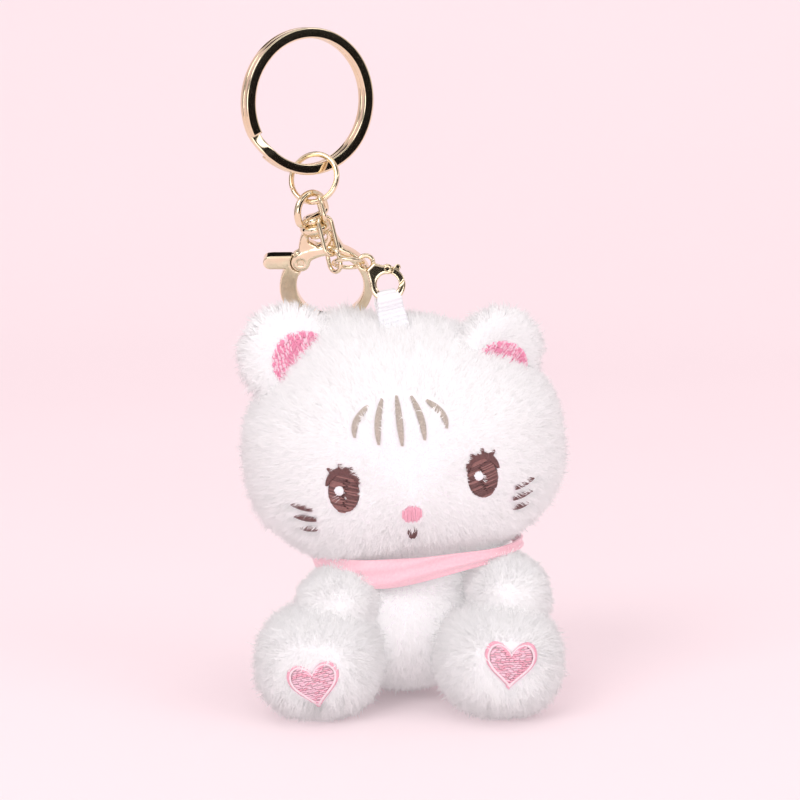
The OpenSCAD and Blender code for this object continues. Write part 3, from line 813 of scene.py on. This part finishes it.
def ground(name, outline, material, lift, surface=face_surface):
    """A closed pad of fabric under stitching: the outline is a closed loop of uv points."""
    outline = np.asarray(outline, float)
    centre = outline.mean(axis=0)
    n, rings, thick = len(outline), 6, 0.3
    loops = [centre + (outline - centre) * s for s in np.linspace(0, 1, rings + 1)[1:]]
    uv = np.vstack([centre[None]] + loops)
    p, nor = surface(uv)
    s = np.concatenate([[0], np.repeat(np.linspace(0, 1, rings + 1)[1:], n)])
    top = p + nor * (lift * (1 - s ** 6))[:, None]
    low = p - nor * thick
    a = 1 + np.arange(n)
    b = np.roll(a, -1)
    q = 1 + wrapped_quads(rings, n, swap=True)
    t = np.stack([0 * a, a, b], 1)
    m = len(uv)
    a, b = a + (rings - 1) * n, b + (rings - 1) * n
    wall = np.stack([a, a + m, b + m, b], 1)
    piece(name, np.vstack([top, low]), [np.vstack([q, q[:, ::-1] + m, wall]),
                                        np.vstack([t, t[:, ::-1] + m])], material)


def oval(centre, size, n=40):
    a = 2 * np.pi * np.arange(n) / n
    return np.asarray(centre) + np.stack([size[0] * np.cos(a), size[1] * np.sin(a)], 1)


def fill_rows(outline, angle, gap, seed=0, longest=99.0, ragged=0.12):
    """Parallel stitches that fill an outline: where each row enters and leaves it."""
    rng = np.random.default_rng(seed)
    outline = np.asarray(outline, float)
    c, s = cos_sin(angle)
    turn = np.array([[c, -s], [s, c]])
    p = outline @ turn
    starts, ends = [], []
    for y in np.arange(p[:, 1].min() + gap / 2, p[:, 1].max(), gap):
        nxt = np.roll(p, -1, 0)
        hit = (p[:, 1] > y) != (nxt[:, 1] > y)
        x = p[hit, 0] + (y - p[hit, 1]) * (nxt[hit, 0] - p[hit, 0]) / (nxt[hit, 1] - p[hit, 1])
        x = np.sort(x)
        for a, b in zip(x[::2], x[1::2]):
            if b - a < gap * 0.6:
                continue
            cuts = [a - ragged * rng.random()]
            while b - cuts[-1] > longest * 1.35:
                cuts.append(cuts[-1] + longest * rng.uniform(0.75, 1.15))
            cuts.append(b + ragged * rng.random())
            for u, v in zip(cuts[:-1], cuts[1:]):
                starts.append([u, y + 0.04 * rng.normal()])
                ends.append([v, y + 0.04 * rng.normal()])
    back = turn.T
    return np.array(starts) @ back, np.array(ends) @ back


def stroke(points, width, gap=0.26, slant=0.0):
    """Short stitches across a stroke, tapering to its ends."""
    points = np.asarray(points, float)
    s = arc_length(points)
    at = np.arange(gap / 2, s[-1], gap)
    x, y = np.interp(at, s, points[:, 0]), np.interp(at, s, points[:, 1])
    tx, ty = np.gradient(x), np.gradient(y)
    size = np.hypot(tx, ty)
    tx, ty = tx / size, ty / size
    f = at / s[-1]
    half = width / 2 * np.clip(np.sin(np.pi * np.clip(f, 0.02, 0.98)) ** 0.45, 0.35, 1)
    nx, ny = -ty + slant * tx, tx + slant * ty
    a = np.stack([x - nx * half, y - ny * half], 1)
    b = np.stack([x + nx * half, y + ny * half], 1)
    return a, b


EYE_AT, EYE_SIZE = (14.0, -6.8), (3.1, 4.2)


def gathered(pairs):
    """All the starts and all the ends of several runs of stitches."""
    return [np.vstack(ends) for ends in zip(*pairs)]


def clear_zone(points, radius, surface=face_surface):
    """The pile keeps clear of stitching near these places."""
    p, _ = surface(np.asarray(points, float))
    CLEAR.append((p, radius))


def make_eye(side):
    name = "left" if side < 0 else "right"
    centre = (side * EYE_AT[0], EYE_AT[1])
    outline = oval(centre, EYE_SIZE)
    ground(name + "_eye_ground", outline, DARK_BROWN, 0.12)
    a, b = fill_rows(outline, 18 * side, 0.25, 11 + side, 3.2)
    # About 42% of the stitches, picked at random, are lighter brown. This is painted sheen
    # standing in for glints on the satin thread.
    light = np.random.default_rng(13 + side).random(len(a)) < 0.42
    stitches(name + "_eye_satin", a[~light], b[~light], 0.15, BROWN, 0.16, 0.10,
             node=name + "_eye")
    stitches(name + "_eye_sheen", a[light], b[light], 0.16, SHEEN_BROWN, 0.20, 0.10)
    # The upper lid: a thicker band of upright stitches along the top of the oval
    t = np.radians(np.linspace(20, 160, 30))
    lid = np.stack([centre[0] + (EYE_SIZE[0] + 0.35) * np.cos(t),
                    centre[1] + (EYE_SIZE[1] + 0.35) * np.sin(t)], 1)
    a, b = stroke(lid, 1.5, 0.24, 0.3 * side)
    stitches(name + "_lid_satin", a, b, 0.15, BROWN, 0.26, 0.12)
    clear_zone(outline, 0.4)
    clear_zone(oval(centre, (1.8, 2.6)), 1.6)
    clear_zone(lid, 0.6)
    lashes = []
    for turn in (62, 92, 122):
        t = math.radians(turn if side > 0 else 180 - turn)
        foot = np.array([centre[0] + 3.0 * math.cos(t), centre[1] + 4.3 * math.sin(t)])
        tip = foot + 1.7 * np.array([math.cos(t) + 0.35 * side, math.sin(t)])
        line = foot + (tip - foot) * np.linspace(0, 1, 8)[:, None]
        lashes.append(stroke(line, 0.95, 0.22, 0.4 * side))
        clear_zone(line, 0.5)
    stitches(name + "_lash_satin", *gathered(lashes), 0.14, BROWN, 0.22, 0.14)


def make_highlights():
    dots = [fill_rows(oval((side * EYE_AT[0] - 0.9, EYE_AT[1] + 0.5), (0.85, 1.05)), 80, 0.2, 5, 9,
                      0.04) for side in (-1, 1)]
    stitches("eye_highlight_satin", *gathered(dots), 0.15, WHITE_THREAD, 0.18, 0.36,
             node="eye_highlights")


def make_nose_and_mouth():
    outline = oval((-0.9, -12.6), (1.95, 1.6))
    ground("nose_ground", outline, LIGHT_PINK, 0.15)
    a, b = fill_rows(outline, 90, 0.26, 7, 9, 0.45)
    stitches("nose_satin", a, b, 0.14, MID_PINK, 0.28, 0.10, node="nose")
    clear_zone(outline, 0.35)
    clear_zone([(-0.9, -12.6)], 1.6)
    outline = oval((-1.0, -16.7), (0.98, 1.3))
    ground("mouth_ground", outline, DARK_BROWN, 0.12)
    a, b = fill_rows(outline, 0, 0.23, 8, 9)
    stitches("mouth_satin", a, b, 0.13, BROWN, 0.22, 0.08, node="mouth")
    clear_zone(outline, 0.35)
    clear_zone([(-1.0, -16.7)], 1.0)


def make_whiskers():
    for side, name in ((-1, "left"), (1, "right")):
        lines = []
        for i in (-1, 0, 1):
            x = 22.2 - 0.5 * abs(i - 1)
            y = -11.8 + i * 2.35
            lean = math.radians(12 + 6 * i)
            half = 2.1 - (0.5 if i < 0 else 0)
            lines.append(np.array([
                [side * (x + half * math.cos(lean) * k), y + half * math.sin(lean) * k]
                for k in np.linspace(-1, 1, 12)]))
        stitches(name + "_whisker_satin", *gathered(stroke(x, 1.15, 0.25, 0.45) for x in lines),
                 0.15, BROWN, 0.25, 0.45, node=name + "_whiskers")
        for line in lines:
            clear_zone(line, 0.95)


def make_tuft():
    """Five plain short strokes that fan out on the forehead."""
    strokes = []
    for i in range(-2, 3):
        top = np.array([2.9 * i - 1.6, 11.2 - 0.35 * i * i])
        foot = np.array([4.6 * i - 1.6, 1.6 + 0.62 * i * i])
        k = np.linspace(0, 1, 20)[:, None]
        bow = np.array([0.55 * i, 0.0]) * np.sin(np.pi * k)
        line = top + (foot - top) * k + bow
        strokes.append(stroke(line, 1.35, 0.26, 0.3))
        clear_zone(line, 1.1)
    stitches("forehead_tuft_satin", *gathered(strokes), 0.14, BEIGE, 0.26, 0.16,
             node="forehead_tuft")


def heart(width, n=72):
    t = 2 * np.pi * np.arange(n) / n
    x = 16 * np.sign(np.sin(t)) * abs(np.sin(t)) ** 2.4
    y = 13 * np.cos(t) - 5 * np.cos(2 * t) - 2 * np.cos(3 * t) - np.cos(4 * t)
    return np.stack([x, y * 0.98 + 1.0], 1) * width / 32


def inside_loop(loop, points):
    x, y = points[:, 0, None], points[:, 1, None]
    x0, y0 = loop[:, 0], loop[:, 1]
    x1, y1 = np.roll(x0, -1), np.roll(y0, -1)
    at = x0 + (y - y0) * (x1 - x0) / np.where(y1 == y0, 1, y1 - y0)
    cross = ((y0 > y) != (y1 > y)) & (x < at)
    return cross.sum(axis=1) % 2 == 1


def make_heart(skin, name, spot, turn, seed):
    cos, sin = cos_sin(turn)

    def surface(uv):
        return skin.cast([(spot[0] + cos * u - sin * v, spot[1] + sin * u + cos * v, 60.0)
                          for u, v in uv], (0, 0, -1))

    outline = heart(10.7)
    ground(name + "_heart_ground", heart(10.4), PALE_PINK, 0.16, surface)
    a, b = fill_rows(heart(8.3), 4, 0.40, seed, 1.05)
    rng = np.random.default_rng(seed)
    b = b + rng.normal(0, 0.10, b.shape)
    deep = rng.random(len(a)) < 0.35
    stitches(name + "_heart_fill", a[~deep], b[~deep], 0.16, LIGHT_PINK, 0.22, 0.24,
             node=name + "_sole_heart", surface=surface)
    stitches(name + "_heart_fill_deep", a[deep], b[deep], 0.15, MID_PINK, 0.20, 0.24,
             surface=surface)
    rail = heart(9.0)
    a, b = stroke(np.vstack([rail, rail[:1]]), 0.5, 0.24, 0.6)
    stitches(name + "_heart_rail", a, b, 0.14, PALE_PINK, 0.20, 0.30, surface=surface, steps=6)
    loop = np.vstack([outline, outline[:1]])
    s = arc_length(loop)
    at = np.arange(0, s[-1], 0.25)
    p = np.stack([np.interp(at, s, loop[:, 0]), np.interp(at, s, loop[:, 1])], 1)
    tangent = np.roll(p, -2, 0) - np.roll(p, 2, 0)
    tangent /= np.linalg.norm(tangent, axis=1)[:, None]
    inward = np.stack([tangent[:, 1], -tangent[:, 0]], 1)
    inward += 0.25 * tangent
    kept = inside_loop(outline, p + 0.95 * inward)
    p, inward = p[kept], inward[kept]
    stitches(name + "_heart_edge", p + 0.10 * inward, p + 0.95 * inward, 0.13, MID_PINK, 0.20,
             0.20, node=name + "_heart_border", surface=surface, steps=7)
    clear_zone(heart(10.0), 0.35, surface)
    clear_zone(heart(7.4, 40), 1.5, surface)
    clear_zone(heart(4.0, 24), 2.0, surface)
    clear_zone([(0, 0)], 2.2, surface)


LEFT_LINING, RIGHT_LINING = (1.6, -1.6), (0.6, -1.6)


def make_ear_lining(skin, name, at, size, seed):
    def surface(uv):
        return skin.cast([(u, -40.0, v) for u, v in uv], (0, 1, 0))

    outline = oval(at, size)
    ground(name + "_lining_ground", outline, PINK, 0.28, surface)
    a, b = fill_rows(outline, 78, 0.25, seed, 1.1)
    rng = np.random.default_rng(seed)
    light = rng.random(len(a)) < 0.35
    stitches(name + "_lining_satin", a[~light], b[~light], 0.16, PINK, 0.14, 0.30,
             node=name + "_ear_lining", surface=surface)
    stitches(name + "_lining_light", a[light], b[light], 0.16, LIGHT_PINK, 0.18, 0.30,
             surface=surface)
    for share in (1.0, 0.8, 0.6, 0.4, 0.2):
        clear_zone(oval(at, (size[0] * share, size[1] * share), 30), 0.3 if share == 1 else 0.9,
                   surface)


# ---- neckerchief ----

def make_neckerchief():
    """A satin strip folded double along its lower edge, whose front hangs in a shallow drape."""
    n, m = 260, 18
    a = np.radians(np.linspace(-180, 180, n, endpoint=False))
    bib = np.exp(-((a + 0.25) / 0.80) ** 2)
    top = -90.4 + 1.7 * np.sin(a)
    low = -93.2 - 3.0 * bib + 1.9 * np.sin(a)
    low = top + (low - top) * (1 - 0.6 * smooth_step(abs(a), 1.0, 2.0))
    t = np.linspace(0, 1, m)
    z = top[:, None] + (low - top)[:, None] * t
    ahead = smooth_step(np.cos(a), -0.5, 0.5)[:, None]
    out = 15.0 + 3.6 * ahead - 0.5 * t + 0.7 * np.sin(np.pi * t) \
        + 2.4 * abs(np.sin(a))[:, None] ** 2 + 2.8 * smooth_step(np.sin(a), 0.2, 1)[:, None]
    out = out + 0.32 * np.sin(t * 11 + 2.2 * np.sin(2 * a)[:, None]) \
        + 0.2 * np.sin(9 * a[:, None] + 5 * t)
    x = TORSO.origin[0] + 1.2 + out * np.sin(a)[:, None]
    y = TORSO.origin[1] - out * np.cos(a)[:, None]
    outer = np.stack([x, y, z], -1)
    outward = np.stack([np.sin(a), -np.cos(a), 0 * a], -1)[:, None]
    fold = outer[:, -1:] - outward * 0.16 - [0, 0, 0.14]
    middle = np.concatenate([outer, fold, (outer - outward * 0.32)[:, ::-1]], 1)
    facing = np.concatenate([outward + 0 * outer, 0 * fold + DOWN, 0 * outer - outward], 1)
    v = np.concatenate([middle + 0.07 * facing, (middle - 0.07 * facing)[:, ::-1]], 1)
    quads = wrapped_quads(n, v.shape[1], True, True)
    ob = piece("neckerchief_band", v.reshape(-1, 3), [quads], KERCHIEF)
    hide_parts("neckerchief")


# ---- stage and light ----

def plain(name, colour, rough=0.9):
    m, nodes, links, bsdf = new_material(name)
    set_in(bsdf, Roughness=rough, Specular_IOR_Level=0.1)
    tex = noise_node(nodes, links, 6.0, 2.0)
    lighter = tuple(min(1.0, c * 1.015) for c in colour)
    tint(nodes, links, bsdf, tex, colour, lighter)
    return m


def make_stage():
    """A seamless pale sheet that curves up behind, and cards that only the metal mirrors."""
    bend = np.radians(range(5, 91, 5))
    y = np.concatenate([np.linspace(-2.5, 0.45, 8), 0.45 + 0.5 * np.sin(bend), np.full(3, 0.95)])
    z = np.concatenate([np.zeros(8), 0.5 - 0.5 * np.cos(bend), [0.9, 1.4, 2.0]]) + FLOOR_Z * MM
    n = len(y)
    verts = [(x, a, b) for x in (-2.5, 2.5) for a, b in zip(y, z)]
    me = bpy.data.meshes.new("backdrop")
    me.from_pydata(verts, [], [(i, n + i, n + i + 1, i + 1) for i in range(n - 1)])
    me.polygons.foreach_set("use_smooth", np.ones(n - 1, bool))
    me.materials.append(plain("pale_backdrop", (0.985, 0.865, 0.895)))
    back = add_object("backdrop", me)
    cards = [card("dark_card_" + name, *rest) for name, *rest in (
        ("right", (0.40, -0.30, -0.05), (0.42, 0.46), 0.01),
        ("left", (-0.35, -0.55, 0.02), (0.14, 0.6), 0.01),
        ("low", (0.02, -0.5, -0.30), (0.5, 0.10), 0.02),
        ("front", (0.05, -0.58, 0.11), (0.16, 0.07), 0.01),
        ("high", (0.26, -0.26, 0.34), (0.32, 0.26), 0.01),
        ("over", (-0.05, 0.35, 0.30), (0.40, 0.22), 0.01),
        ("side", (-0.42, 0.05, -0.02), (0.16, 0.50), 0.01))]


def card(name, at, size, shade):
    """A dark panel facing the hardware, seen only in mirror reflections."""
    toward = (Vector((0.005, 0, -0.02)) - Vector(at)).normalized()
    u = toward.cross(Vector((0, 0, 1))).normalized()
    v = toward.cross(u)
    me = bpy.data.meshes.new(name)
    corners = [Vector(at) + u * (size[0] / 2 * i) + v * (size[1] / 2 * j)
               for i, j in ((-1, -1), (1, -1), (1, 1), (-1, 1))]
    me.from_pydata([c[:] for c in corners], [], [(0, 1, 2, 3)])
    m, _, _, bsdf = new_material(name)
    set_in(bsdf, Base_Color=(shade, shade, shade, 1), Roughness=1.0, Specular_IOR_Level=0.0)
    me.materials.append(m)
    ob = add_object(name, me)
    ob.visible_camera = ob.visible_diffuse = ob.visible_shadow = False
    ob.visible_transmission = ob.visible_volume_scatter = False
    return ob


KITTEN_CENTRE = Vector((0.019, -0.005, -0.08))


def area_light(name, at, size, power):
    data = bpy.data.lights.new(name, "AREA")
    data.shape = "RECTANGLE"
    data.size, data.size_y = size
    data.energy = power
    ob = add_object(name, data)
    ob.location = at
    ob.rotation_euler = (KITTEN_CENTRE - Vector(at)).to_track_quat("-Z", "Y").to_euler()


def make_lights():
    world = bpy.data.worlds.new("world")
    bpy.context.scene.world = world
    world.use_nodes = True
    set_in(world.node_tree.nodes["Background"], Color=(1.0, 0.93, 0.945, 1), Strength=0.74)
    area_light("key", (-0.55, -0.75, 0.75), (0.6, 0.6), 3.6)
    area_light("fill", (0.9, -0.6, 0.35), (0.7, 0.7), 2.15)
    area_light("low", (0.0, -0.95, -0.02), (0.8, 0.3), 1.4)
    area_light("top", (0.1, 0.1, 1.0), (0.9, 0.9), 1.4)
    bpy.context.scene.view_settings.view_transform = "Standard"


# ---- the kitten together ----

make_hardware()
make_ribbon()

head = head_skin()
torso = torso_skin()
left_arm = arm_skin("left_arm", LEFT_ARM, 4.8, 21)
right_arm = arm_skin("right_arm", RIGHT_ARM, 5.5, 22)
left_leg = leg_skin("left_leg", LEFT_LEG, 23)
right_leg = leg_skin("right_leg", RIGHT_LEG, 24)
left_ear = ear_skin("left_ear", LEFT_EAR, (8.6, 2.7, 9.4))
right_ear = ear_skin("right_ear", RIGHT_EAR, (8.2, 2.7, 8.3))

make_eye(-1)
make_eye(1)
make_highlights()
make_nose_and_mouth()
make_whiskers()
make_tuft()
make_heart(left_leg, "left", (0.7, -1.9), 10, 31)
make_heart(right_leg, "right", (0.4, 1.6), -4, 32)
make_ear_lining(left_ear, "left", LEFT_LINING, (6.3, 6.4), 33)
make_ear_lining(right_ear, "right", RIGHT_LINING, (6.4, 5.6), 34)
make_neckerchief()


def near_clear(root):
    """True where a root is too close to stitching."""
    hit = np.zeros(len(root), bool)
    for points, radius in CLEAR:
        low, high = points.min(0) - radius, points.max(0) + radius
        box = np.all((root > low) & (root < high), axis=1)
        idx = np.nonzero(box & ~hit)[0]
        gap = np.linalg.norm(root[idx][:, None] - points[None], axis=2).min(axis=1)
        hit[idx[gap < radius]] = True
    return hit


def keeper(others):
    def keep(root):
        ok = ~near_clear(root)
        for skin, margin in others:
            idx = np.nonzero(ok)[0]
            lo, hi = skin.verts.min(0) - 1, skin.verts.max(0) + 1
            box = idx[np.all((root[idx] > lo) & (root[idx] < hi), axis=1)]
            for i in box:
                q = Vector(root[i])
                hit, n, _, _ = skin.world_tree.find_nearest(q)
                if (q - hit).dot(n) < margin:
                    ok[i] = False
        return ok
    return keep


def head_comb(root, normal):
    local = HEAD.back(root)
    away = local * [1.0, 0.3, 1.0] + [0, 6, 12]
    return in_surface(HEAD.turned(unit(away)), normal) * 0.45 + in_surface(DOWN, normal) * 0.22


def head_length(root, normal):
    local = HEAD.back(root)
    face = np.exp(-((local[:, 0] / 24.5) ** 4 + ((local[:, 2] + 8) / 13) ** 4)) * (local[:, 1] < 0)
    cheek = smooth_step(abs(local[:, 0]), 22, 29) * smooth_step(-local[:, 2], -4, 14)
    crown = np.exp(-((local[:, 0] + 12) / 7) ** 2) * smooth_step(local[:, 2], 10, 19)
    return 3.0 - 1.6 * face + 1.2 * cheek + 2.0 * crown


def body_comb(root, normal):
    return in_surface(DOWN, normal) * 0.35


def limb_comb(place):
    def comb(root, normal):
        return in_surface(place.turned([0, 0, 1]), normal) * 0.25 + in_surface(DOWN, normal) * 0.2
    return comb


def ear_comb(place, at):
    """On the front the pile lies away from the lining, and behind it lies down."""
    def comb(root, normal):
        local = place.back(root)
        away = unit((local - [at[0], 0, at[1]]) * [1.0, 0, 1.0])
        front = smooth_step(-local[:, 1], -0.3, 0.8)[:, None]
        return in_surface(place.turned(away) * front + DOWN * (1 - front), normal) * 0.45
    return comb


def ear_length(place):
    def length(root, normal):
        return 3.0 - 0.9 * smooth_step(-place.back(root)[:, 1], 0.5, 2.0)
    return length


def even(length):
    return lambda root, normal: np.full(len(root), length)


def make_pile():
    grow_pile("head", head, 150000, head_length, head_comb,
              keeper([(torso, 0.2), (left_ear, 0.0), (right_ear, 0.0)]), 101)
    limbs = [(left_leg, 0.0), (right_leg, 0.0), (left_arm, 0.0), (right_arm, 0.0)]
    grow_pile("torso", torso, 42000, even(2.3), body_comb, keeper([(head, 0.2), *limbs]), 102)
    for i, (name, skin, count, length, near) in enumerate((
            ("left_leg", left_leg, 33000, 3.3, (torso, left_arm)),
            ("right_leg", right_leg, 33000, 3.3, (torso, right_arm)),
            ("left_arm", left_arm, 16000, 2.5, (torso, head, left_leg)),
            ("right_arm", right_arm, 16000, 2.5, (torso, head, right_leg)))):
        grow_pile(name, skin, count, even(length), limb_comb(skin.place),
                  keeper([(other, 0.0) for other in near]), 103 + i)
    for i, (name, ear, lining) in enumerate((("left_ear", left_ear, LEFT_LINING),
                                             ("right_ear", right_ear, RIGHT_LINING))):
        grow_pile(name, ear, 15000, ear_length(ear.place), ear_comb(ear.place, lining),
                  keeper([(head, 0.0)]), 107 + i)


make_pile()
make_stage()
make_lights()
